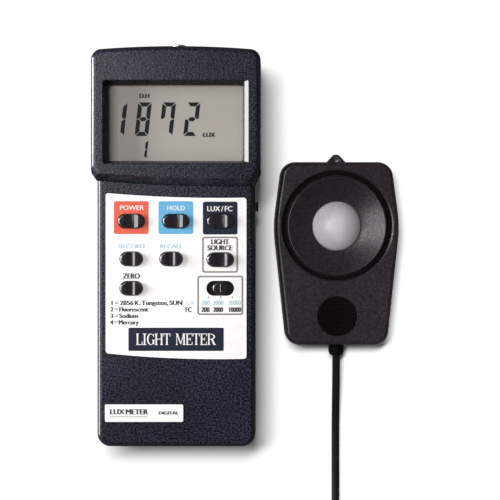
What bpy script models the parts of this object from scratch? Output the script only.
"""Handheld light meter: a meter with a digital display and seven keys, and its sensor head on a cord.

Metres, +Z up. The origin is the centre of the meter's flat back, +X points right, +Y towards the
display end, and both the meter and the sensor head lie on their backs on z = 0. The sensor head's
pieces are modelled about its own centre line and parented to an empty on that line.
"""

import math

import bmesh
import bpy
from mathutils import Matrix, Vector

# ---------------------------------------------------------------- general
GAP = 0.0003  # left between neighbouring pieces
WALL = 0.0022  # walls of the meter's covers
REACH = 0.001  # how far a cutter runs past the face that it opens
SCREW_HOLE = 0.0015  # radius of the case and board screws' holes
SCREW_SHANK = 0.0012

# ---------------------------------------------------------------- meter case
TOP_END = 0.08515  # the display end, at the middle of its bow
FOOT_END = 0.086  # as far the other way
HEAD_HALF = 0.0363  # half the width over the display
HANDLE_HALF = 0.0341  # half the width over the keys
HEAD_FRONT = 0.032
HANDLE_FRONT = 0.028
SEAM = 0.015  # height of the joint between the two covers
TOP_BOW = 0.0012  # the display end bulges by this much
HEAD_CORNER = 0.005
HANDLE_CORNER = 0.006
FLARE = 0.0003  # the walls lean in by this much between the seam and the rounded edge
EDGE = 0.0023  # radius of the rounded edges
SHOULDER_Y = 0.031  # where the head starts to narrow towards the handle
STEP_FOOT = 0.0254  # the step's lower edge at its lowest point
STEP_RUN = 0.0031  # how far the step's face leans back
CURVE_X = 0.018  # the step and the label's edges are shallow arcs about this line
STEP_CURVE = 0.91
LABEL_FOOT_CURVE = 1.1

# ---------------------------------------------------------------- display
RECESS_HALF = (0.03075, 0.0176)
RECESS_FLOOR_HALF = (0.0290, 0.0162)
RECESS_FLOOR_RIGHT = 0.0282
DISPLAY_Y = 0.0525
RECESS_FLOOR = 0.0269
LEDGE_FOOT = 0.0292  # the recess's right wall starts with a shallow ledge, down to this X
LEDGE_DROP = 0.00057
WINDOW = 0.0012  # thickness
GLASS = 0.0023
PCB_TOP = 0.0198
PCB_THICK = 0.0016
PCB_HALF = 0.0292
PCB_ENDS = (-0.0283, 0.0724)

# ---------------------------------------------------------------- keys and label
KEY_WIDTH = 0.0058
LARGE_KEY = 0.0112
SMALL_KEY = 0.0095
KEY_TOP = 0.0294
KEY_CLEARANCE = 0.0003
SCOOP_END = 0.0029  # length of each key end beyond the scoop
SCOOP_DEPTH = 0.0005
KEYS = {
    "power_key": (-0.0191, 0.0106, LARGE_KEY),
    "hold_key": (-0.0001, 0.0106, LARGE_KEY),
    "unit_key": (0.0188, 0.0106, LARGE_KEY),
    "record_key": (-0.0191, -0.0055, SMALL_KEY),
    "recall_key": (-0.0021, -0.0055, SMALL_KEY),
    "source_key": (0.0188, -0.0058, LARGE_KEY),
    "zero_key": (-0.0191, -0.0180, SMALL_KEY),
}
RANGE_SLOT = (0.0188, -0.0180, LARGE_KEY)
KNOB_LENGTH = 0.0065
KNOB_WIDTH = 0.0054
KNOB_TRAVEL = 0.0022  # each way from the middle position
LABEL_HALF = 0.030
LABEL_TOP = 0.0205
LABEL_FOOT = -0.0482
LABEL_CORNER = 0.0012
LABEL_THICK = 0.0003
BADGE = (-0.0303, -0.0749, 0.00305, -0.0675)
FLANGE_TOP = HANDLE_FRONT - WALL - GAP
FLANGE_FOOT = FLANGE_TOP - 0.0012
SWITCH_TOP = 0.0232
SWITCH_FLOOR = 0.0206

# ---------------------------------------------------------------- screws, sockets and battery
CASE_SCREWS = [(-0.0285, 0.0785), (0.0285, 0.0785), (-0.0265, -0.0775), (0.0265, -0.0775)]
BOARD_SCREWS = [(-0.0268, 0.029), (0.0268, -0.0254)]
BOSS = 0.0031
POST = 0.0022
SOCKET_X = 0.0003
SOCKET_BARREL = 0.0024  # radius
SOCKET_PROUD = 0.0026  # how far the probe socket stands out of the end wall
JACK_Y = 0.0172
JACK_NOSE = 0.0021
JACK_PROUD = 0.0010
BATTERY = (0.0265, 0.0485, 0.0175)  # a PP3 battery: width, length, thickness
BATTERY_FOOT = -0.0800
BATTERY_BACK = 0.0026
BAY_HALF = 0.0140
DOOR_HALF = 0.0160
DOOR_TONGUE = 0.0176
DOOR_TOP_Y = -0.0283
DOOR_OUTSIDE = 0.0002
DOOR_INSIDE = 0.0020
TONGUE_BACK = 0.0013
RAIL_HALF = 0.0195

# ---------------------------------------------------------------- sensor head
SENSOR_X = 0.070
SENSOR_THICK = 0.012
SENSOR_SEAM = 0.00565
SENSOR_WALL = 0.0018
SENSOR_CORNERS = [(-0.02255, -0.0441), (0.02255, -0.0441), (0.02825, 0.0091), (0.0245, 0.0376)]
SENSOR_RADII = [0.007, 0.007, 0.060, 0.007]
SENSOR_FLARE = 0.0005
SENSOR_EDGE = 0.0018
SENSOR_ROOF = 0.0094  # inner face of the front shell
DISH_Y = 0.0090
GROOVE_RADIUS = 0.0244
GROOVE_FLOOR = 0.0098
DISH_RADIUS = 0.0219
DISH_TOP = 0.0118
DISH_FLOOR = 0.0080
DOME_RADIUS = 0.0106
DOME_TOP = 0.0140
DOME_FOOT = 0.0083
GRIP_Y = -0.0310
GRIP_RADIUS = 0.0085
GRIP_TOP = 0.0122
GRIP_RIBS = 9
GRIP_PITCH = 0.00185
SENSOR_SCREWS = [(-0.0182, 0.0305), (0.0182, 0.0305), (-0.0155, -0.0368), (0.0155, -0.0368)]

# ---------------------------------------------------------------- cord
CORD = 0.0034  # diameter
RELIEF_END = -0.0486
RELIEF_RADIUS = 0.00345
COIL_RADIUS = 11 * CORD / 2  # of the middle of its turns
COIL_OUTER = COIL_RADIUS + 1.5 * CORD  # four turns lie side by side, in two layers
COIL_X = SENSOR_X - COIL_OUTER
COIL_Y = -0.1445
COIL_HALF = 2 * CORD + 0.0002  # half the width of the wound ring
COIL_HEIGHT = 2 * CORD + 0.0004
TIE_THICK = 0.0006
TIE_WIDTH = 0.0050
COIL_LIFT = TIE_THICK + GAP  # the coil lies on its tie
CORD_ROUTE = [
    (0.070, -0.0471, 0.00565),
    (0.070, -0.0540, 0.00560),
    (0.070, -0.0620, 0.00470),
    (0.070, -0.0700, 0.00330),
    (0.070, -0.0790, 0.00210),
    (0.070, -0.0900, 0.00172),
    (0.070, -0.1040, 0.00170),
    (0.070, -0.1180, 0.00175),
    (0.070, -0.1300, 0.00200),
]
TAIL_ROUTE = [
    (0.0325, -0.1683, 0.00340),
    (0.0290, -0.1683, 0.00235),
    (0.0252, -0.1683, 0.00205),
    (0.0218, -0.1683, 0.00270),
    (0.0190, -0.1683, 0.00390),
    (0.0163, -0.1683, 0.00420),
]
PLUG_Y = COIL_Y - COIL_OUTER
PLUG_Z = 0.00425
PLUG_RADIUS = 0.0042
PLUG_START = 0.0160
PLUG_LENGTH = 0.0280
PLUG_PIN = 0.0140
PLUG_BOOT = 0.0080

# ---------------------------------------------------------------- finishes: colour, roughness, metallic
FINISHES = {
    "case": ((0.025, 0.026, 0.037), 0.55, 0.0),
    "key": ((0.012, 0.011, 0.013), 0.25, 0.0),
    "label": ((0.92, 0.92, 0.89), 0.45, 0.0),
    "window": ((0.80, 0.82, 0.80), 0.08, 0.0),
    "display": ((0.42, 0.39, 0.35), 0.20, 0.0),
    "board": ((0.03, 0.16, 0.06), 0.45, 0.0),
    "chip": ((0.02, 0.02, 0.02), 0.40, 0.0),
    "steel": ((0.55, 0.55, 0.56), 0.30, 1.0),
    "dark": ((0.03, 0.03, 0.032), 0.50, 0.0),
    "foam": ((0.05, 0.05, 0.05), 0.95, 0.0),
    "battery": ((0.10, 0.10, 0.11), 0.35, 0.0),
    "red": ((0.50, 0.02, 0.02), 0.45, 0.0),
    "sensor": ((0.030, 0.026, 0.032), 0.45, 0.0),
    "dome": ((0.78, 0.75, 0.78), 0.35, 0.0),
    "filter": ((0.10, 0.35, 0.22), 0.10, 0.0),
    "rubber": ((0.010, 0.009, 0.009), 0.70, 0.0),
    "gold": ((0.75, 0.55, 0.22), 0.25, 1.0),
}


# ---------------------------------------------------------------- scene and modelling helpers
def clear_scene():
    for obj in list(bpy.data.objects):
        bpy.data.objects.remove(obj, do_unlink=True)


def make_collection(name):
    collection = bpy.data.collections.new(name)
    bpy.context.scene.collection.children.link(collection)
    return collection


clear_scene()
PARTS = make_collection("light_meter")
CUTTERS = make_collection("cutters")


def add_object(name, data):
    obj = bpy.data.objects.new(name, data)
    PARTS.objects.link(obj)
    return obj


def from_bmesh(name, bm):
    """A new object from a bmesh, with its round faces shaded smooth."""
    mesh = bpy.data.meshes.new(name)
    bm.to_mesh(mesh)
    bm.free()
    mesh.shade_smooth()
    mesh.set_sharp_from_angle(angle=math.radians(35))
    return add_object(name, mesh)


def add_block(bm, low, high):
    low, high = Vector(low), Vector(high)
    place = Matrix.Translation((low + high) / 2) @ Matrix.Diagonal((*(high - low), 1.0))
    bmesh.ops.create_cube(bm, size=1.0, matrix=place)


def add_rod(bm, start, end, radius, end_radius=None, segments=16):
    """A cylinder, or a cone, from one point to another."""
    start, end = Vector(start), Vector(end)
    turn = (end - start).to_track_quat("Z", "Y").to_matrix().to_4x4()
    bmesh.ops.create_cone(
        bm,
        cap_ends=True,
        segments=segments,
        radius1=radius,
        radius2=radius if end_radius is None else end_radius,
        depth=(end - start).length,
        matrix=Matrix.Translation((start + end) / 2) @ turn,
    )


def block(name, low, high):
    bm = bmesh.new()
    add_block(bm, low, high)
    return from_bmesh(name, bm)


def rod(name, start, end, radius, end_radius=None, segments=16):
    bm = bmesh.new()
    add_rod(bm, start, end, radius, end_radius, segments)
    return from_bmesh(name, bm)


def posts(name, places, low, high, radius, segments=12):
    """Upright cylinders of one size, as one object of separate bodies."""
    bm = bmesh.new()
    for x, y in places:
        add_rod(bm, (x, y, low), (x, y, high), radius, segments=segments)
    return from_bmesh(name, bm)


def weld(mesh):
    bm = bmesh.new()
    bm.from_mesh(mesh)
    bmesh.ops.remove_doubles(bm, verts=bm.verts, dist=0.000001)
    bm.to_mesh(mesh)
    bm.free()


def plate(name, outlines, low, high):
    """A flat piece between two heights: an outline inside another one is a hole."""
    curve = bpy.data.curves.new(name, "CURVE")
    curve.dimensions = "2D"
    curve.fill_mode = "BOTH"
    curve.extrude = (high - low) / 2
    for outline in outlines:
        spline = curve.splines.new("POLY")
        spline.points.add(len(outline) - 1)
        spline.use_cyclic_u = True
        for point, (x, y) in zip(spline.points, outline, strict=True):
            point.co = (x, y, 0, 1)
    drawn = add_object(name + "_outline", curve)
    drawn.location.z = (low + high) / 2
    graph = bpy.context.evaluated_depsgraph_get()
    mesh = bpy.data.meshes.new_from_object(drawn.evaluated_get(graph))
    weld(mesh)
    obj = add_object(name, mesh)
    obj.matrix_world = drawn.matrix_world.copy()
    bpy.data.objects.remove(drawn, do_unlink=True)
    return obj


def loft(name, sections):
    """A closed body through (height, outline) sections, whose outlines have as many points each."""
    bm = bmesh.new()
    rings = [[bm.verts.new((x, y, z)) for x, y in outline] for z, outline in sorted(sections)]
    for low, high in zip(rings, rings[1:]):
        for i, corner in enumerate(low):
            bm.faces.new((low[i - 1], corner, high[i], high[i - 1]))
    bm.faces.new(reversed(rings[0]))
    bm.faces.new(rings[-1])
    return from_bmesh(name, bm)


def turned(name, profile, steps=32, closed=True):
    """A body turned about its own Z: the profile of (radius, height) points runs down the outer side.

    A closed profile joins its last point to its first. An open one starts and ends on the axis.
    """
    mesh = bpy.data.meshes.new(name)
    edges = [(i, i + 1) for i in range(len(profile) - 1)]
    if closed:
        edges.append((len(profile) - 1, 0))
    mesh.from_pydata([(radius, 0, height) for radius, height in profile], edges, [])
    obj = add_object(name, mesh)
    screw = obj.modifiers.new("turn", "SCREW")
    screw.angle = math.tau
    screw.steps = steps
    screw.render_steps = steps
    screw.use_merge_vertices = True
    screw.merge_threshold = 0.00001
    return obj


def tube(name, route, radius, sides_resolution=2):
    """A round wire or cord along a list of points, with closed ends."""
    curve = bpy.data.curves.new(name, "CURVE")
    curve.dimensions = "3D"
    curve.bevel_depth = radius
    curve.bevel_resolution = sides_resolution
    curve.use_fill_caps = True
    spline = curve.splines.new("POLY")
    spline.points.add(len(route) - 1)
    for point, place in zip(spline.points, route, strict=True):
        point.co = (*place, 1)
    return add_object(name, curve)


def smooth_route(route, spacing):
    """Points about spacing apart on the smooth curve through the route's own points."""
    ends = [2 * Vector(route[0]) - Vector(route[1])], [2 * Vector(route[-1]) - Vector(route[-2])]
    knots = ends[0] + [Vector(p) for p in route] + ends[1]
    points = []
    for before, start, end, after in zip(knots, knots[1:], knots[2:], knots[3:]):
        count = max(1, round((end - start).length / spacing))
        for i in range(count):
            t = i / count
            points.append(
                0.5
                * (
                    2 * start
                    + (end - before) * t
                    + (2 * before - 5 * start + 4 * end - after) * t**2
                    + (3 * start - before - 3 * end + after) * t**3
                )
            )
    return points + [Vector(route[-1])]


def arc(centre, radius, start, end, steps):
    """Points on an arc between two angles in degrees."""
    angles = [math.radians(start + (end - start) * i / steps) for i in range(steps + 1)]
    return [(centre[0] + radius * math.cos(a), centre[1] + radius * math.sin(a)) for a in angles]


def circle(x, y, radius, steps=24):
    return arc((x, y), radius, 0, 360 - 360 / steps, steps - 1)


def rounded(corners, radii, steps=5):
    """The outline through convex corners, anticlockwise, each rounded with its own radius."""
    outline = []
    for i, corner in enumerate(corners):
        here = Vector(corner)
        back = (Vector(corners[i - 1]) - here).normalized()
        on = (Vector(corners[(i + 1) % len(corners)]) - here).normalized()
        half = back.angle(on) / 2
        centre = here + (back + on).normalized() * radii[i] / math.sin(half)
        start = here + back * radii[i] / math.tan(half) - centre
        first = math.degrees(math.atan2(start.y, start.x))
        outline += arc(centre, radii[i], first, first + 180 - math.degrees(2 * half), steps)
    return outline


def rectangle(x0, y0, x1, y1, radius, steps=3):
    return rounded([(x0, y0), (x1, y0), (x1, y1), (x0, y1)], [radius] * 4, steps)


def stadium(x, y, length, width, steps=5):
    """A slot's outline along X, with half-round ends."""
    straight = (length - width) / 2
    right = arc((x + straight, y), width / 2, -90, 90, steps)
    left = arc((x - straight, y), width / 2, 90, 270, steps)
    return right + left


def boolean(target, other, operation):
    """Cuts or joins the other object, which then goes with the cutters."""
    modifier = target.modifiers.new(other.name, "BOOLEAN")
    modifier.operation = operation
    modifier.object = other
    modifier.solver = "EXACT"
    PARTS.objects.unlink(other)
    CUTTERS.objects.link(other)
    other.hide_render = True
    other.display_type = "WIRE"


def cut(target, *others):
    for other in others:
        boolean(target, other, "DIFFERENCE")


def join(target, *others):
    for other in others:
        boolean(target, other, "UNION")


def finish(obj, finish_name):
    """Gives the object its own material."""
    colour, roughness, metallic = FINISHES[finish_name]
    material = bpy.data.materials.new(obj.name)
    material.use_nodes = True
    shader = material.node_tree.nodes["Principled BSDF"]
    shader.inputs["Base Color"].default_value = (*colour, 1.0)
    shader.inputs["Roughness"].default_value = roughness
    shader.inputs["Metallic"].default_value = metallic
    obj.data.materials.clear()
    obj.data.materials.append(material)
    return obj


# ---------------------------------------------------------------- meter case
def step_arc(x, base, curve=STEP_CURVE):
    """The height in Y of a shallow arc whose lowest point is right of the middle."""
    return base + curve * (x - CURVE_X) ** 2


def handle_outline(inset):
    """The handle's plan outline: it runs on under the head."""
    half, foot = HANDLE_HALF - inset, inset - FOOT_END
    radius = HANDLE_CORNER - inset
    return (
        arc((-half + radius, foot + radius), radius, 180, 270, 5)
        + arc((half - radius, foot + radius), radius, 270, 360, 5)
        + [(half, 0.045), (-half, 0.045)]
    )


def head_outline(inset, step_shift):
    """The head's plan outline, with the arched step along its lower side."""
    half, radius = HEAD_HALF - inset, HEAD_CORNER - inset
    neck = HANDLE_HALF - inset
    inner = half - radius
    top = [TOP_END - inset - TOP_BOW * (x / inner) ** 2 for x in (0, inner / 2, inner)]
    shoulder = SHOULDER_Y + step_shift
    foot = STEP_FOOT + step_shift
    step = [(neck * i / 4, step_arc(neck * i / 4, foot)) for i in range(-4, 5)]
    right = [(half, shoulder)] + arc((inner, top[2] - radius), radius, 0, 90, 5) + [(inner / 2, top[1])]
    left = [(-inner / 2, top[1])] + arc((-inner, top[2] - radius), radius, 90, 180, 5) + [(-half, shoulder)]
    return step + right + [(0, top[0])] + left


def wall_profile(seam, face):
    """(height, inset) pairs along a cover's wall: it leans in, then rounds over to the face."""
    way = math.copysign(1, face - seam)
    turns = [math.radians(angle) for angle in (0, 45, 90)]
    rounding = [(face - way * EDGE * (1 - math.sin(a)), FLARE + EDGE * (1 - math.cos(a))) for a in turns]
    return [(seam, 0.0)] + rounding


def cavity_profile(seam, face):
    """The same for the space inside a cover, which is open at the seam."""
    way = math.copysign(1, face - seam)
    inside = face - way * WALL
    return [(seam - way * REACH, WALL), (inside - way * REACH, WALL + FLARE), (inside, WALL + FLARE + REACH)]


def step_shift(height):
    """How far the step's face has leaned back at a height."""
    return STEP_RUN * max(0.0, (height - HANDLE_FRONT) / (HEAD_FRONT - HANDLE_FRONT))


def key_outlines(margin):
    """The outlines of the seven keys' holes and of the range switch's slot."""
    places = [*KEYS.values(), RANGE_SLOT]
    return [stadium(x, y, length + 2 * margin, KEY_WIDTH + 2 * margin) for x, y, length in places]


def label_outline(margin):
    """The front label's outline: straight sides between two shallow arcs, and clipped corners."""
    half = LABEL_HALF + margin
    steps = [half * i / 6 for i in range(-6, 7)]
    foot = [(x, step_arc(x, LABEL_FOOT - margin, LABEL_FOOT_CURVE)) for x in steps]
    top = [(x, step_arc(x, LABEL_TOP + margin)) for x in reversed(steps)]
    for edge, turn in ((foot, 1), (top, -1)):
        for end, side in ((0, 1), (-1, -1)):
            x, y = edge[end]
            corner = [(x, y + turn * LABEL_CORNER), (x + side * turn * LABEL_CORNER, y)]
            edge[end : end + 1 or None] = corner if end == 0 else corner[::-1]
    return foot + top


def socket_cutter(name):
    """The probe socket's hole through the end wall, half in each cover."""
    end = TOP_END
    return rod(name, (SOCKET_X, end - 0.006, SEAM), (SOCKET_X, end + REACH, SEAM), SOCKET_BARREL + GAP)


def jack_cutter(name):
    """The data jack's hole through the right wall, half in each cover."""
    start, end = (HANDLE_HALF - 0.005, JACK_Y, SEAM), (HANDLE_HALF + REACH, JACK_Y, SEAM)
    return rod(name, start, end, JACK_NOSE + GAP)


def make_front_cover():
    seam = SEAM + GAP / 2
    cover = loft("front_cover", [(z, handle_outline(i)) for z, i in wall_profile(seam, HANDLE_FRONT)])
    head = [(z, head_outline(i, step_shift(z))) for z, i in wall_profile(seam, HEAD_FRONT)]
    head.insert(1, (HANDLE_FRONT, head_outline(FLARE * 0.8, 0)))
    join(cover, loft("front_head", head))
    handle_space = [(z, handle_outline(i)) for z, i in cavity_profile(seam, HANDLE_FRONT)]
    head_space = [(z, head_outline(i, WALL)) for z, i in cavity_profile(seam, HEAD_FRONT)]
    cut(cover, loft("handle_space", handle_space), loft("head_space", head_space))

    rim_x, rim_y = RECESS_HALF[0] + 0.0016, RECESS_HALF[1] + 0.0014
    rim = block(
        "display_rim",
        (-rim_x, DISPLAY_Y - rim_y, RECESS_FLOOR),
        (rim_x, DISPLAY_Y + rim_y, HEAD_FRONT - WALL + REACH),
    )
    join(cover, rim)
    top_bosses = posts("top_bosses", CASE_SCREWS[:2], seam, HEAD_FRONT - REACH, BOSS)
    foot_bosses = posts("foot_bosses", CASE_SCREWS[2:], seam, HANDLE_FRONT - REACH, BOSS)
    board_posts = posts("board_posts", BOARD_SCREWS, PCB_TOP + GAP, HANDLE_FRONT - REACH, POST)
    join(cover, top_bosses, foot_bosses, board_posts)

    recess = []
    depth = HEAD_FRONT - RECESS_FLOOR
    ledge_top = RECESS_HALF[0] + REACH * (RECESS_HALF[0] - LEDGE_FOOT) / LEDGE_DROP
    right = (RECESS_FLOOR_RIGHT, LEDGE_FOOT, ledge_top)
    for height, right_x in zip((RECESS_FLOOR - REACH, HEAD_FRONT - LEDGE_DROP, HEAD_FRONT + REACH), right):
        share = (height - RECESS_FLOOR) / depth
        half_x = RECESS_FLOOR_HALF[0] + share * (RECESS_HALF[0] - RECESS_FLOOR_HALF[0])
        half_y = RECESS_FLOOR_HALF[1] + share * (RECESS_HALF[1] - RECESS_FLOOR_HALF[1])
        recess.append((height, rectangle(-half_x, DISPLAY_Y - half_y, right_x, DISPLAY_Y + half_y, 0.001)))
    cut(cover, loft("display_recess", recess))

    floor = HANDLE_FRONT - 0.0004
    badge_edge = (BADGE[0] - GAP, BADGE[1] - GAP, BADGE[2] + GAP, BADGE[3] + GAP, 0.0006)
    cut(
        cover,
        plate("label_recess", [label_outline(GAP)], floor, HANDLE_FRONT + REACH),
        plate("badge_recess", [rectangle(*badge_edge)], floor, HANDLE_FRONT + REACH),
        plate("key_holes", key_outlines(KEY_CLEARANCE), HANDLE_FRONT - 0.004, HANDLE_FRONT + REACH),
        posts("front_screw_holes", CASE_SCREWS, seam - REACH, 0.0225, SCREW_HOLE, 12),
        posts("board_screw_holes", BOARD_SCREWS, PCB_TOP, 0.0245, SCREW_HOLE, 12),
        socket_cutter("front_socket_hole"),
        jack_cutter("front_jack_hole"),
    )
    return finish(cover, "case")


def rear_shape(name):
    """The rear cover's outside: handle and head in one body."""
    seam = SEAM - GAP / 2
    shape = loft(name, [(z, handle_outline(i)) for z, i in wall_profile(seam, 0)])
    join(shape, loft(name + "_head", [(z, head_outline(i, 0)) for z, i in wall_profile(seam, 0)]))
    return shape


def bay_walls():
    """The battery bay's side rails, the low walls on them and the wall at its upper end."""
    foot = -FOOT_END + WALL - GAP
    rail_top, wall_top, thick = 0.0045, 0.0120, 0.0015
    pieces = []
    for side, name in ((-1, "left"), (1, "right")):
        inner, outer, wall = side * BAY_HALF, side * RAIL_HALF, side * (BAY_HALF + thick)
        xs = sorted((inner, outer))
        end = (xs[1], DOOR_TOP_Y + thick, rail_top)
        pieces.append(block(f"bay_rail_{name}", (xs[0], foot, DOOR_INSIDE), end))
        xs = sorted((inner, wall))
        end = (xs[1], DOOR_TOP_Y, wall_top)
        pieces.append(block(f"bay_wall_{name}", (xs[0], foot, rail_top - REACH), end))
    across = BAY_HALF + REACH
    end = (across, DOOR_TOP_Y + thick - GAP, 0.0044)
    pieces.append(block("bay_end", (-across, DOOR_TOP_Y + GAP, REACH), end))
    return pieces


def make_rear_cover():
    seam = SEAM - GAP / 2
    cover = rear_shape("rear_cover")
    handle_space = [(z, handle_outline(i)) for z, i in cavity_profile(seam, 0)]
    head_space = [(z, head_outline(i, WALL)) for z, i in cavity_profile(seam, 0)]
    cut(cover, loft("rear_handle_space", handle_space), loft("rear_head_space", head_space))
    join(cover, posts("screw_towers", CASE_SCREWS, REACH, seam, BOSS))

    join(cover, *bay_walls())
    past_foot = -FOOT_END - REACH
    door_top = DOOR_TOP_Y + GAP
    groove = DOOR_TONGUE + GAP
    cut(
        cover,
        block("bay_opening", (-BAY_HALF, past_foot, -REACH), (BAY_HALF, door_top, DOOR_INSIDE + GAP)),
        block("door_opening", (-DOOR_HALF - GAP, past_foot, -REACH), (DOOR_HALF + GAP, door_top, 0.0015)),
        block(
            "door_grooves",
            (-groove, past_foot, TONGUE_BACK - GAP),
            (groove, door_top, DOOR_INSIDE + GAP),
        ),
        posts("screw_pockets", CASE_SCREWS, -REACH, 0.0086, 0.0028, 20),
        posts("rear_screw_holes", CASE_SCREWS, 0.0080, seam + REACH, SCREW_HOLE, 12),
        socket_cutter("rear_socket_hole"),
        jack_cutter("rear_jack_hole"),
    )
    return finish(cover, "case")


def make_battery_cover():
    """The sliding door: the rear cover's own outside between the rails, with a tongue on each side."""
    door = rear_shape("battery_cover")
    foot = -FOOT_END - REACH
    slab = block("door_slab", (-DOOR_HALF, foot, DOOR_OUTSIDE), (DOOR_HALF, DOOR_TOP_Y, DOOR_INSIDE))
    tongues = block(
        "door_tongues", (-DOOR_TONGUE, foot, TONGUE_BACK), (DOOR_TONGUE, DOOR_TOP_Y, DOOR_INSIDE)
    )
    join(slab, tongues)
    boolean(door, slab, "INTERSECT")
    bm = bmesh.new()
    for i in range(5):
        y = -0.066 + 0.0022 * i
        add_block(bm, (-0.007, y, -REACH), (0.007, y + 0.0011, 0.0008))
    cut(door, from_bmesh("door_ridges", bm))
    origin_on_axis(door, (0, -0.057, REACH))
    return finish(door, "case")


def origin_on_axis(obj, place):
    """Moves the origin of a piece built in row coordinates, and its cutters', onto its joint's axis."""
    offset = Matrix.Translation(-Vector(place))
    for piece in {obj, *boolean_operands(obj)}:
        piece.data.transform(offset @ piece.matrix_basis)
        piece.matrix_basis = Matrix.Translation(place)


def boolean_operands(obj):
    """Every object that this one's Booleans use, and theirs."""
    found = []
    for modifier in obj.modifiers:
        if modifier.type == "BOOLEAN":
            found += [modifier.object, *boolean_operands(modifier.object)]
    return found


def make_label():
    floor = HANDLE_FRONT - 0.0001
    outlines = [label_outline(0), *key_outlines(KEY_CLEARANCE)]
    finish(plate("front_label", outlines, floor, floor + LABEL_THICK), "label")
    finish(plate("name_badge", [rectangle(*BADGE, 0.0005)], floor, floor + 0.0004), "label")


# ---------------------------------------------------------------- keys
def make_key(name, x, y, length):
    """A push key with a scooped top, a flange behind the cover and a stem into its switch."""
    sections = [
        (FLANGE_FOOT, stadium(0, 0, length, KEY_WIDTH)),
        (KEY_TOP - 0.0004, stadium(0, 0, length, KEY_WIDTH)),
        (KEY_TOP, stadium(0, 0, length - 0.0006, KEY_WIDTH - 0.0006)),
    ]
    key = loft(name, sections)
    flange = plate(name + "_flange", [stadium(0, 0, length + 0.0024, 0.0081)], FLANGE_FOOT, FLANGE_TOP)
    stem = rod(name + "_stem", (0, 0, 0.0218), (0, 0, FLANGE_FOOT + 0.0005), 0.0012, segments=16)
    half = length / 2 - SCOOP_END
    radius = (half**2 + SCOOP_DEPTH**2) / (2 * SCOOP_DEPTH)
    middle = KEY_TOP - SCOOP_DEPTH + radius
    scoop = rod(name + "_scoop", (0, -KEY_WIDTH, middle), (0, KEY_WIDTH, middle), radius, segments=48)
    join(key, flange, stem)
    cut(key, scoop)
    for piece in (key, flange, stem, scoop):
        piece.location.x = x
        piece.location.y = y
    return finish(key, "key")


def make_range_knob():
    """The range switch's sliding knob: a gripped top, a long flange and a stem into the switch."""
    x, y, _ = RANGE_SLOT
    knob = loft(
        "range_knob",
        [
            (FLANGE_FOOT, stadium(0, 0, KNOB_LENGTH, KNOB_WIDTH)),
            (KEY_TOP - 0.0004, stadium(0, 0, KNOB_LENGTH, KNOB_WIDTH)),
            (KEY_TOP, stadium(0, 0, KNOB_LENGTH - 0.0006, KNOB_WIDTH - 0.0006)),
        ],
    )
    outline = rectangle(-0.0085, -0.0041, 0.0085, 0.0041, 0.001)
    flange = plate("knob_flange", [outline], FLANGE_FOOT, FLANGE_TOP)
    stem = block("knob_stem", (-0.001, -0.0009, 0.0216), (0.001, 0.0009, FLANGE_FOOT + 0.0005))
    bm = bmesh.new()
    for middle in (-0.0016, 0, 0.0016):
        low = (middle - 0.0004, -KNOB_WIDTH, KEY_TOP - 0.0005)
        add_block(bm, low, (middle + 0.0004, KNOB_WIDTH, KEY_TOP + REACH))
    grooves = from_bmesh("knob_grooves", bm)
    join(knob, flange, stem)
    cut(knob, grooves)
    for piece in (knob, flange, stem, grooves):
        piece.location.x = x
        piece.location.y = y
    finish(knob, "key")

    low, high = PCB_TOP + GAP, SWITCH_TOP
    housing = block("range_switch_housing", (x - 0.007, y - 0.0037, low), (x + 0.007, y + 0.0037, high))
    slot_half = (0.0037, 0.0013)
    slot_low = (x - slot_half[0], y - slot_half[1], 0.0211)
    cut(housing, block("range_switch_slot", slot_low, (x + slot_half[0], y + slot_half[1], high + REACH)))
    finish(housing, "dark")


def make_contact_mat():
    """The silicone mat under the keys: a sheet with a hollow dome below each key's stem."""
    x, y, _ = RANGE_SLOT
    sheet = rectangle(-0.0285, -0.0228, 0.0285, 0.0150, 0.002)
    window = rectangle(x - 0.0074, y - 0.0041, x + 0.0074, y + 0.0041, 0.0005)
    mat = plate("contact_mat", [sheet, window], PCB_TOP + GAP, PCB_TOP + GAP + 0.0008)
    places = [(x, y) for x, y, _ in KEYS.values()]
    join(mat, posts("mat_domes", places, PCB_TOP + GAP, SWITCH_TOP, 0.0030))
    cut(mat, posts("mat_wells", places, SWITCH_FLOOR, SWITCH_TOP + REACH, SCREW_HOLE))
    finish(mat, "foam")


# ---------------------------------------------------------------- display and circuit board
def make_display():
    half_x, half_y = 0.0304, 0.0181
    low, high = DISPLAY_Y - half_y, DISPLAY_Y + half_y
    top = RECESS_FLOOR - GAP
    window = plate("display_window", [rectangle(-half_x, low, half_x, high, 0.0005)], top - WINDOW, top)
    finish(window, "window")
    top -= WINDOW + GAP
    outline = rectangle(-0.0294, low + 0.0008, 0.0294, high - 0.0008, 0.0003)
    glass = plate("lcd_glass", [outline], top - GLASS, top)
    finish(glass, "display")
    frame_outlines = [
        rectangle(-0.0318, low - 0.0009, 0.0318, high + 0.0009, 0.001),
        rectangle(-0.0298, low + 0.0004, 0.0298, high - 0.0004, 0.0005),
    ]
    finish(plate("lcd_frame", frame_outlines, PCB_TOP + GAP, top), "dark")
    for name, y in (("contact_strip_1", low + 0.0024), ("contact_strip_2", high - 0.0024)):
        strip = block(name, (-0.026, y - 0.001, PCB_TOP + GAP), (0.026, y + 0.001, top - GLASS - GAP))
        finish(strip, "rubber")


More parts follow.
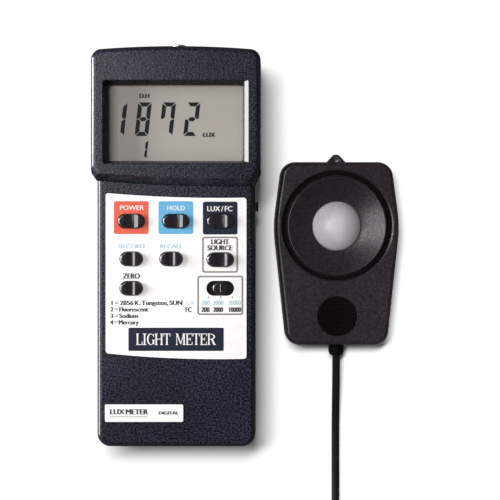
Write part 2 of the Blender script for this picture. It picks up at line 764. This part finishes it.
def make_board():
    low = PCB_TOP - PCB_THICK
    outline = rectangle(-PCB_HALF, PCB_ENDS[0], PCB_HALF, PCB_ENDS[1], 0.0015)
    holes = [circle(x, y, SCREW_HOLE, 12) for x, y in BOARD_SCREWS]
    finish(plate("main_board", [outline, *holes], low, PCB_TOP), "board")
    under = low - GAP
    chip = rectangle(-0.007, 0.028, 0.007, 0.042, 0.0003)
    finish(plate("microcontroller", [chip], under - 0.0016, under), "chip")
    crystal = plate("quartz_crystal", [stadium(0.0155, 0.036, 0.011, 0.0046, 6)], under - 0.0035, under)
    finish(crystal, "steel")
    trimmer = block("calibration_trimmer", (0.011, 0.049, under - 0.0045), (0.0175, 0.0555, under))
    x, y = 0.01425, 0.05225
    cut(trimmer, rod("trimmer_slot", (x, y, 0.0125), (x, y, 0.0145), 0.0013, segments=12))
    finish(trimmer, "dark")
    finish(rod("capacitor", (-0.018, -0.006, under - 0.007), (-0.018, -0.006, under), 0.0031), "battery")


def make_probe_socket():
    end = TOP_END
    x, back = SOCKET_X, 0.0732
    body = block("probe_socket", (x - 0.0045, back, 0.0106), (x + 0.0045, end - WALL - GAP - 0.0001, 0.0194))
    tip = end + SOCKET_PROUD
    join(body, rod("socket_barrel", (x, end - 0.004, SEAM), (x, tip, SEAM), SOCKET_BARREL, segments=24))
    cut(body, rod("socket_bore", (x, back + 0.0015, SEAM), (x, tip + REACH, SEAM), 0.0018, segments=20))
    finish(body, "dark")
    hole, collar = SOCKET_BARREL + GAP, SOCKET_BARREL + GAP + 0.0005
    ring = [(collar, 0.0012), (0.0039, 0.0012), (0.0039, GAP)]
    profile = [(collar, SOCKET_PROUD), *ring, (hole, GAP), (hole, SOCKET_PROUD)]
    nut = turned("socket_nut", profile, 24)
    nut.rotation_euler.x = -math.pi / 2
    nut.location = (x, end, SEAM)
    finish(nut, "steel")


def make_data_jack():
    inner = HANDLE_HALF - WALL - GAP
    body = block("data_jack", (0.0205, JACK_Y - 0.0034, 0.0118), (inner, JACK_Y + 0.0034, 0.0179))
    tip = HANDLE_HALF + JACK_PROUD
    join(body, rod("jack_nose", (inner - REACH, JACK_Y, SEAM), (tip, JACK_Y, SEAM), JACK_NOSE, segments=20))
    mouth = (tip + REACH, JACK_Y, SEAM)
    cut(body, rod("jack_bore", (0.0220, JACK_Y, SEAM), mouth, 0.0013, segments=16))
    finish(body, "dark")


def make_screw(name, place, heights, head_radius, shank_radius, finish_name="steel"):
    """A pan-head screw whose head faces the back: heights are its foot, its head's top and its tip."""
    foot, shoulder, tip = heights
    profile = [
        (0, tip),
        (shank_radius, tip),
        (shank_radius, shoulder),
        (head_radius, shoulder),
        (head_radius, foot + 0.0004),
        (head_radius - 0.0004, foot),
        (0, foot),
    ]
    screw = turned(name, profile, 16, closed=False)
    screw.location = (*place, 0)
    return finish(screw, finish_name)


def make_screws():
    """The case screws come in from the back, the board's screws from behind the board."""
    for i, place in enumerate(CASE_SCREWS, 1):
        make_screw(f"case_screw_{i}", place, (0.0062, 0.0083, 0.0215), 0.0025, SCREW_SHANK)
    under = PCB_TOP - PCB_THICK - GAP
    for i, place in enumerate(BOARD_SCREWS, 1):
        make_screw(f"board_screw_{i}", place, (under - 0.0014, under, 0.0240), 0.0021, SCREW_SHANK)


def make_battery():
    width, length, thick = BATTERY
    end = BATTERY_FOOT + length
    middle = BATTERY_BACK + thick / 2
    cell = block("battery", (-width / 2, BATTERY_FOOT, BATTERY_BACK), (width / 2, end, BATTERY_BACK + thick))
    bm = bmesh.new()
    add_rod(bm, (-0.00635, end - REACH, middle), (-0.00635, end + 0.0024, middle), 0.0029, segments=16)
    add_rod(bm, (0.00635, end - REACH, middle), (0.00635, end + 0.0024, middle), 0.0037, segments=6)
    join(cell, from_bmesh("battery_terminals", bm))
    finish(cell, "battery")

    bm = bmesh.new()
    for x in (-0.00635, 0.00635):
        add_rod(bm, (x, end - REACH, middle), (x, end + 0.0027, middle), 0.0041)
    back = end + 0.0044
    snap = block("battery_snap", (-0.0125, end + GAP, middle - 0.006), (0.0125, back, middle + 0.006))
    cut(snap, from_bmesh("snap_wells", bm))
    finish(snap, "rubber")
    under = PCB_TOP - PCB_THICK - GAP
    for name, x, material in (("battery_lead_red", 0.006, "red"), ("battery_lead_black", -0.006, "rubber")):
        route = [
            (x, back + GAP, middle),
            (x, back + 0.003, middle),
            (x * 1.15, back + 0.006, middle + 0.0015),
            (x * 1.2, back + 0.0075, middle + 0.004),
            (x * 1.2, back + 0.008, under),
        ]
        finish(tube(name, smooth_route(route, 0.0012), 0.00055, 1), material)


# ---------------------------------------------------------------- sensor head
def sensor_outline(inset):
    """The sensor head's plan outline: widest beside the dish, with rounded corners."""
    right = [(x - inset, y) for x, y in SENSOR_CORNERS[1:]]
    right[0] = (right[0][0], right[0][1] + inset)
    right[-1] = (right[-1][0], right[-1][1] - inset)
    corners = right + [(-x, y) for x, y in reversed(right)]
    radii = [r - inset for r in SENSOR_RADII[1:]]
    return rounded(corners, radii + radii[::-1])


def sensor_profile(seam, face):
    way = math.copysign(1, face - seam)
    turns = [math.radians(angle) for angle in (0, 45, 90)]
    return [(seam, 0.0)] + [
        (
            face - way * SENSOR_EDGE * (1 - math.sin(a)),
            SENSOR_FLARE + SENSOR_EDGE * (1 - math.cos(a)),
        )
        for a in turns
    ]


def relief_cutter(name):
    """The strain relief's hole through the sensor head's end wall, half in each shell."""
    foot = SENSOR_CORNERS[0][1]
    return rod(name, (0, foot - REACH, SENSOR_SEAM), (0, foot + 0.004, SENSOR_SEAM), 0.0029)


def make_sensor_front():
    seam = SENSOR_SEAM + GAP / 2
    profile = sensor_profile(seam, SENSOR_THICK)
    shell = loft("sensor_front_shell", [(z, sensor_outline(i)) for z, i in profile])
    inside = SENSOR_WALL + SENSOR_FLARE
    space = loft("sensor_front_space", [(z, sensor_outline(inside)) for z in (seam - REACH, SENSOR_ROOF)])
    cut(shell, space)
    join(shell, posts("sensor_bosses", SENSOR_SCREWS, seam, SENSOR_ROOF + REACH, 0.0027))
    past = SENSOR_THICK + REACH
    cut(
        shell,
        rod("dish_groove", (0, DISH_Y, GROOVE_FLOOR), (0, DISH_Y, past), GROOVE_RADIUS, segments=40),
        rod("dish_hole", (0, DISH_Y, seam), (0, DISH_Y, past), DISH_RADIUS + GAP, segments=40),
        rod("grip_pocket", (0, GRIP_Y, 0.0107), (0, GRIP_Y, past), GRIP_RADIUS + GAP, segments=32),
        posts("sensor_front_holes", SENSOR_SCREWS, seam - REACH, 0.0088, 0.0013, 12),
        relief_cutter("front_relief_hole"),
    )
    finish(shell, "sensor")


def make_sensor_rear():
    seam = SENSOR_SEAM - GAP / 2
    floor = 0.0014
    shell = loft("sensor_rear_shell", [(z, sensor_outline(i)) for z, i in sensor_profile(seam, 0)])
    inside = SENSOR_WALL + SENSOR_FLARE
    cut(shell, loft("sensor_rear_space", [(z, sensor_outline(inside)) for z in (floor, seam + REACH)]))
    join(shell, posts("sensor_towers", SENSOR_SCREWS, 0.0005, seam, 0.0028))
    top = SENSOR_CORNERS[-1][1]
    tab = [(-0.0056, top - 0.0014), (0.0056, top - 0.0014), (0.0011, top + 0.0034), (-0.0011, top + 0.0034)]
    hole = circle(0, top + 0.0013, 0.00110, 16)
    join(shell, plate("hanging_tab", [rounded(tab, [0.0002, 0.0002, 0.0016, 0.0016]), hole], 0.0020, 0.0050))
    cut(
        shell,
        posts("sensor_pockets", SENSOR_SCREWS, -REACH, 0.0023, 0.0023, 16),
        posts("sensor_rear_holes", SENSOR_SCREWS, 0.0020, seam + REACH, 0.0013, 12),
        relief_cutter("rear_relief_hole"),
    )
    finish(shell, "sensor")
    for i, place in enumerate(SENSOR_SCREWS, 1):
        make_screw(f"sensor_screw_{i}", place, (0.0008, 0.0020, 0.0084), 0.0020, 0.0010)


def make_dish():
    """The dished ring round the dome, held by its flange behind the front shell."""
    low, inner, outer = DISH_FLOOR, DOME_RADIUS + 0.0004, DISH_RADIUS - 0.0007
    flange_top = SENSOR_ROOF - GAP
    run, rise = outer - inner, DISH_TOP - 0.0002 - low
    slope = [(inner + run * i / 4, low + rise * (i / 4) ** 1.25) for i in range(5)]
    profile = [
        (DISH_RADIUS - 0.0003, DISH_TOP),
        (DISH_RADIUS, DISH_TOP - 0.0003),
        (DISH_RADIUS, flange_top),
        (DISH_RADIUS + 0.0016, flange_top),
        (DISH_RADIUS + 0.0016, flange_top - 0.0014),
        (DISH_RADIUS - 0.0020, flange_top - 0.0014),
        (inner + 0.003, low - 0.0011),
        (inner, low - 0.0011),
    ]
    dish = turned("sensor_dish", profile + slope, 40)
    dish.location.y = DISH_Y
    finish(dish, "sensor")


def make_dome():
    """The white diffuser: a shallow hollow cap with a flange that the dish holds down."""
    height = DOME_TOP - DOME_FOOT
    ball = (DOME_RADIUS**2 + height**2) / (2 * height)
    skin = 0.0014

    def cap(radius, steps):
        edge = min(1.0, (DOME_RADIUS if radius == ball else DOME_RADIUS - skin) / radius)
        angles = [math.asin(edge) * i / steps for i in range(steps + 1)]
        return [(radius * math.sin(a), DOME_TOP - ball + radius * math.cos(a)) for a in angles]

    foot = DISH_FLOOR - 0.0011 - GAP
    rim = [
        (DOME_RADIUS, foot),
        (DOME_RADIUS + 0.0018, foot),
        (DOME_RADIUS + 0.0018, foot - 0.0012),
        (DOME_RADIUS - skin, foot - 0.0012),
    ]
    dome = turned("diffuser_dome", cap(ball, 5) + rim + cap(ball - skin, 3)[::-1], 32, closed=False)
    dome.location.y = DISH_Y
    finish(dome, "dome")


def make_light_cell():
    """Under the dome: the correction filter in its holder, the photodiode and their board."""
    top = DISH_FLOOR - 0.0011 - 2 * GAP - 0.0012
    board = plate("sensor_board", [rectangle(-0.013, -0.006, 0.013, 0.022, 0.001)], 0.0017, 0.0027)
    finish(board, "board")
    holder = turned("filter_holder", [(0.0118, top), (0.0118, 0.0030), (0.0063, 0.0030), (0.0063, top)], 32)
    holder.location.y = DISH_Y
    finish(holder, "dark")
    finish(rod("colour_filter", (0, DISH_Y, top - 0.0009), (0, DISH_Y, top), 0.0060, segments=32), "filter")
    diode_top = top - 0.0009 - GAP
    finish(rod("photodiode", (0, DISH_Y, 0.0030), (0, DISH_Y, diode_top), 0.0046, segments=32), "gold")
    route = [
        (0, -0.0401, SENSOR_SEAM),
        (0, -0.036, 0.0052),
        (0.001, -0.026, 0.0030),
        (0.002, -0.0063, 0.0023),
    ]
    finish(tube("sensor_lead", smooth_route(route, 0.004), 0.0006, 1), "red")


def make_grip():
    grip = rod("thumb_grip", (0, GRIP_Y, 0.0110), (0, GRIP_Y, GRIP_TOP), GRIP_RADIUS, segments=32)
    bm = bmesh.new()
    for i in range(GRIP_RIBS):
        y = GRIP_Y + (i - (GRIP_RIBS - 1) / 2) * GRIP_PITCH
        add_block(bm, (-0.010, y - 0.00045, GRIP_TOP - 0.0007), (0.010, y + 0.00045, GRIP_TOP + REACH))
    cut(grip, from_bmesh("grip_grooves", bm))
    finish(grip, "rubber")


def make_relief():
    """The cord's strain relief: its neck is held in the end wall, half by each shell."""
    foot = SENSOR_CORNERS[0][1]
    inside = foot + SENSOR_WALL + SENSOR_FLARE + GAP
    relief = turned(
        "strain_relief",
        [
            (0, inside + 0.0010),
            (0.0034, inside + 0.0010),
            (0.0034, inside),
            (0.0026, inside),
            (0.0026, foot - GAP),
            (RELIEF_RADIUS, foot - GAP),
            (RELIEF_RADIUS, RELIEF_END + 0.0012),
            (RELIEF_RADIUS - 0.0008, RELIEF_END),
            (CORD / 2 + GAP, RELIEF_END),
            (CORD / 2 + GAP, RELIEF_END + 0.0018),
            (0, RELIEF_END + 0.0018),
        ],
        24,
        closed=False,
    )
    relief.rotation_euler.x = -math.pi / 2
    relief.location.z = SENSOR_SEAM
    finish(relief, "rubber")


def make_cord():
    """The free cord: the straight stretch, the stored coil with its tie, the tail and the plug."""
    finish(tube("sensor_cord", smooth_route(CORD_ROUTE, 2.2 * CORD), CORD / 2), "rubber")
    finish(tube("cord_tail", smooth_route(TAIL_ROUTE, 1.5 * CORD), CORD / 2), "rubber")
    inner, outer = COIL_RADIUS - COIL_HALF, COIL_RADIUS + COIL_HALF
    low, high = COIL_LIFT, COIL_LIFT + COIL_HEIGHT
    trim = 0.0012
    profile = [
        (inner + trim, high),
        (outer - trim, high),
        (outer, high - trim),
        (outer, low + trim),
        (outer - trim, low),
        (inner + trim, low),
        (inner, low + trim),
        (inner, high - trim),
    ]
    coil = turned("cord_coil", profile, 32)
    coil.location = (COIL_X, COIL_Y, 0)
    finish(coil, "rubber")

    room = COIL_HALF + 2 * GAP
    tie_inner = rectangle(-room, low - GAP, room, high + GAP, 0.0004)
    room += TIE_THICK
    tie_outer = rectangle(-room, low - GAP - TIE_THICK, room, high + GAP + TIE_THICK, 0.0009)
    tie = plate("cord_tie", [tie_outer, tie_inner], -TIE_WIDTH / 2, TIE_WIDTH / 2)
    tie.rotation_euler = (math.pi / 2, 0, 0)
    tie.location = (COIL_X - COIL_RADIUS, COIL_Y, 0)
    finish(tie, "rubber")

    grip_profile = [
        (0, PLUG_START),
        (0.0024, PLUG_START),
        (0.0036, PLUG_START - PLUG_BOOT),
        (PLUG_RADIUS, PLUG_START - PLUG_BOOT - 0.0006),
        (PLUG_RADIUS, PLUG_START - PLUG_LENGTH),
        (0, PLUG_START - PLUG_LENGTH),
    ]
    grip = turned("plug_grip", grip_profile, 24, closed=False)
    grip.rotation_euler.y = math.pi / 2
    grip.location = (0, PLUG_Y, PLUG_Z)
    finish(grip, "rubber")
    pin_profile = [
        (0, 0),
        (0.0026, 0),
        (0.0026, -0.0010),
        (0.00175, -0.0010),
        (0.00175, 0.0022 - PLUG_PIN),
        (0.0012, 0.0016 - PLUG_PIN),
        (0.0017, 0.0009 - PLUG_PIN),
        (0.0007, -PLUG_PIN),
        (0, -PLUG_PIN),
    ]
    pin = turned("plug_pin", pin_profile, 20, closed=False)
    pin.rotation_euler.y = math.pi / 2
    pin.location = (PLUG_START - PLUG_LENGTH - GAP, PLUG_Y, PLUG_Z)
    finish(pin, "steel")


def make_sensor_head():
    """The sensor head's pieces, parented to an empty on its centre line, which lifts off with them."""
    before = set(bpy.data.objects)
    make_sensor_front()
    make_sensor_rear()
    make_dish()
    make_dome()
    make_light_cell()
    make_grip()
    make_relief()
    anchor = add_object("sensor_anchor", None)
    anchor.location.x = SENSOR_X
    for obj in bpy.data.objects:
        if obj not in before and obj is not anchor:
            obj.parent = anchor


def make_meter():
    make_front_cover()
    make_rear_cover()
    make_battery_cover()
    make_label()
    for name, place in KEYS.items():
        make_key(name, *place)
    make_range_knob()
    make_contact_mat()
    make_display()
    make_board()
    make_probe_socket()
    make_data_jack()
    make_screws()
    make_battery()


make_meter()
make_sensor_head()
make_cord()
